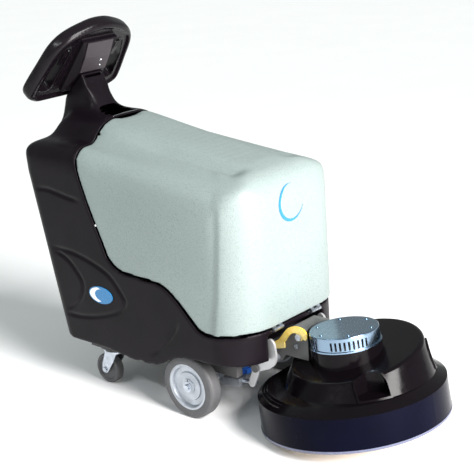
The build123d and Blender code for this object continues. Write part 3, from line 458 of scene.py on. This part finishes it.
def press_creases(co, no):
    """Presses the creases into the body's outer sides."""
    y = co[:, 1]
    flank = np.clip(no[:, 1] * np.sign(y), 0, 1) * (np.abs(y) > FLANK_Y)
    side_view = np.stack((co[:, 0] - SHIFT, co[:, 2]), axis=1)
    press = np.zeros(len(co))
    for line in BODY_CREASES.values():
        press = np.maximum(press, groove_along(side_view, line, CREASE_WIDTH))
    co[:, 1] -= np.sign(y) * CREASE_DEPTH * press * flank


def soft_weight(co):
    """How much each point of the body belongs to the neck's foot or to the rear top corners."""
    x, z = co[:, 0] - SHIFT, co[:, 2]
    foot = smoothstep(0.765, 0.80, z) * (1 - smoothstep(0.90, 0.95, z)) * (1 - smoothstep(-0.90, -0.875, x))
    rear = smoothstep(0.70, 0.74, z) * (1 - smoothstep(-1.07, -1.03, x)) * (1 - smoothstep(0.84, 0.88, z))
    return np.clip(foot + rear, 0, 1)


def body_skin():
    """The body with creases pressed into its sides, softened rear corners and a swept neck foot."""
    mesh = skin("body_shell", BODY_VOXEL, passes=2)
    co, no = coords(mesh), vertex_normals(mesh)
    press_creases(co, no)
    set_coords(mesh, co)
    relax(mesh, soft_weight(co), 70)
    obj = add_object("body_skin", mesh, MAT["body_black"], "chassis")
    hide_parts("body_shell")


def lathe(name, profile, where, axis, mat, body, steps=28):
    """A turned piece: profile points are radius and height, in millimetres, along axis."""
    axis = Vector(axis).normalized()
    first = axis.orthogonal().normalized()
    second = axis.cross(first)
    verts, faces = [], []
    for radius, height in profile:
        for k in range(steps):
            angle = 2 * math.pi * k / steps
            spoke = first * math.cos(angle) + second * math.sin(angle)
            verts.append(Vector(where) + spoke * (radius / 1000) + axis * (height / 1000))
    for i in range(len(profile) - 1):
        for k in range(steps):
            a, b = i * steps + k, i * steps + (k + 1) % steps
            faces.append((a, b, b + steps, a + steps))
    faces.append(tuple(range(steps))[::-1])
    faces.append(tuple((len(profile) - 1) * steps + k for k in range(steps)))
    mesh = bpy.data.meshes.new(name)
    mesh.from_pydata(verts, [], faces)
    obj = add_object(name, mesh, mat, body)


# A pan head's profile: radius and height in millimetres.
PAN_HEAD = [(0.8, -0.5), (4.2, -0.5), (4.4, 0.6), (3.8, 1.7), (2.6, 2.4), (1.3, 2.5), (0.9, 1.2)]


SCREW_PLACES = [(45, 20, -41.6), (24, 23, -43.7)]


def cover_screws():
    """Two bright pan-head screws in the pod's front cover."""
    under = (math.sin(HANDLE_TILT), 0, -math.cos(HANDLE_TILT))
    for number, (u, y, w) in enumerate(SCREW_PLACES, 1):
        lathe(f"cover_screw_{number}", PAN_HEAD, on_handle(u, y, w), under, MAT["chrome_part"], "chassis")


LIP_X = -862
LIP_Z = 867.8
LIP_CURVE = 0.0006
LIP_HALF_SPAN = 56
LIP_RADIUS = 0.0016


def seam_lip():
    """The thin bright edge where the neck's foot overhangs the hood's finger scoop."""
    across = range(-LIP_HALF_SPAN, LIP_HALF_SPAN + 1, 4)
    path = [mm(LIP_X, y, LIP_Z - LIP_CURVE * y * y) for y in across]
    tube("neck_lip", path, LIP_RADIUS, MAT["chrome_part"], "chassis", flatten=0.6)


BADGE_Z = 338
CRESCENT_BACK_Y = 247.4
CRESCENT_FACE_Y = 248.0
CRESCENT_START = 105
CRESCENT_SWEEP = 150
CRESCENT_STEPS = 16


def ellipse_arc(centre_x, half_length, half_height):
    """Points of the crescent's arc on an ellipse about the badge's height, in millimetres."""
    points = []
    for k in range(CRESCENT_STEPS + 1):
        angle = math.radians(CRESCENT_START + CRESCENT_SWEEP * k / CRESCENT_STEPS)
        points.append((centre_x + half_length * math.cos(angle), BADGE_Z + half_height * math.sin(angle)))
    return points


def badge_crescent():
    """A plain pale crescent on each oval badge, towards the rear."""
    ring = ellipse_arc(-790, 49, 25) + ellipse_arc(-780, 36, 21)[::-1]
    count = len(ring)
    for side, tag in ((-1, "right"), (1, "left")):
        back = [mm(px, side * CRESCENT_BACK_Y, pz) for px, pz in ring]
        face = [mm(px, side * CRESCENT_FACE_Y, pz) for px, pz in ring]
        faces = [(k, k + 1, k + 1 + count, k + count) for k in range(count - 1)]
        faces.append((count - 1, 0, count, 2 * count - 1))
        for k in range(count // 2 - 1):
            quad = (k, k + 1, count - 2 - k, count - 1 - k)
            faces.append(quad)
            faces.append(tuple(i + count for i in quad[::-1]))
        mesh = bpy.data.meshes.new("badge_crescent_" + tag)
        mesh.from_pydata(back + face, [], faces)
        obj = add_object("badge_crescent_" + tag, mesh, MAT["badge_white"], "chassis", smooth=False)


hood_skin()
handle_skin()
body_skin()
cover_screws()
seam_lip()
badge_crescent()


# ---------------------------------------------------------------- camera, light, floor


CAMERA_AZIMUTH = math.radians(42.214)
CAMERA_ELEVATION = math.radians(17.178)
CAMERA_ROLL = math.radians(4.076)
CAMERA_PLACE = Vector((1.9012 + SHIFT, -2.5594, 1.5854))
CAMERA_LENS = 90.37
CAMERA_SENSOR = 36.0
SUN_DIRECTION = Vector((-0.90, 0.10, -0.62))
FLOOR_HALF = 60.0


def camera():
    """Seen from the front right, a little above, with a slight roll."""
    azimuth, elevation, roll = CAMERA_AZIMUTH, CAMERA_ELEVATION, CAMERA_ROLL
    back = Vector((math.sin(azimuth) * math.cos(elevation), -math.cos(azimuth) * math.cos(elevation),
                   math.sin(elevation)))
    right = Vector((math.cos(azimuth), math.sin(azimuth), 0))
    up = back.cross(right)
    right_rolled = right * math.cos(roll) - up * math.sin(roll)
    up_rolled = right * math.sin(roll) + up * math.cos(roll)
    data = bpy.data.cameras.new("camera")
    data.lens = CAMERA_LENS
    data.sensor_width = CAMERA_SENSOR
    obj = bpy.data.objects.new("camera", data)
    matrix = Matrix.Identity(4)
    for column, axis in enumerate((right_rolled, up_rolled, back)):
        for row in range(3):
            matrix[row][column] = axis[row]
    matrix.translation = CAMERA_PLACE
    obj.matrix_world = matrix
    scene.collection.objects.link(obj)
    scene.camera = obj


def area_light(name, where, target, size, power, colour):
    """A rectangular light at a place, turned to face its target."""
    data = bpy.data.lights.new(name, "AREA")
    data.shape = "RECTANGLE"
    data.size, data.size_y = size
    data.energy = power
    data.color = colour
    obj = bpy.data.objects.new(name, data)
    obj.location = where
    obj.rotation_mode = "QUATERNION"
    obj.rotation_quaternion = (Vector(target) - Vector(where)).to_track_quat("-Z", "Y")
    scene.collection.objects.link(obj)


def studio():
    """A pale world, a wide sun from the front, a front panel and a strip over the near side."""
    world = bpy.data.worlds.new("studio")
    world.use_nodes = True
    background = world.node_tree.nodes["Background"]
    background.inputs["Color"].default_value = (0.93, 1.0, 0.985, 1)
    background.inputs["Strength"].default_value = 0.40
    scene.world = world
    scene.view_settings.view_transform = "Standard"
    data = bpy.data.lights.new("sun", "SUN")
    data.energy = 3.9
    data.angle = math.radians(25)
    data.color = (1.0, 1.0, 0.985)
    sun = bpy.data.objects.new("sun", data)
    sun.rotation_mode = "QUATERNION"
    sun.rotation_quaternion = SUN_DIRECTION.to_track_quat("-Z", "Y")
    scene.collection.objects.link(sun)
    area_light("front", (2.4, -0.4, 1.2), (0.2, 0, 0.45), (1.2, 1.6), 120, (1.0, 0.935, 0.93))
    area_light("strip", (-0.5, -2.4, 2.6), (-0.3, 0, 0.7), (1.8, 0.25), 22, (0.92, 0.96, 1.0))


def floor():
    """A wide pale floor, just under the tyres."""
    half = FLOOR_HALF
    corners = [(-half, -half, 0), (half, -half, 0), (half, half, 0), (-half, half, 0)]
    mesh = bpy.data.meshes.new("floor")
    mesh.from_pydata(corners, [], [(0, 1, 2, 3)])
    obj = bpy.data.objects.new("floor", mesh)
    obj.location.z = -0.0005
    scene.collection.objects.link(obj)
    obj.data.materials.append(material("floor_pale", (0.93, 0.935, 0.94), 0.7, vary=0.01, vary_scale=2))


camera()
studio()
floor()
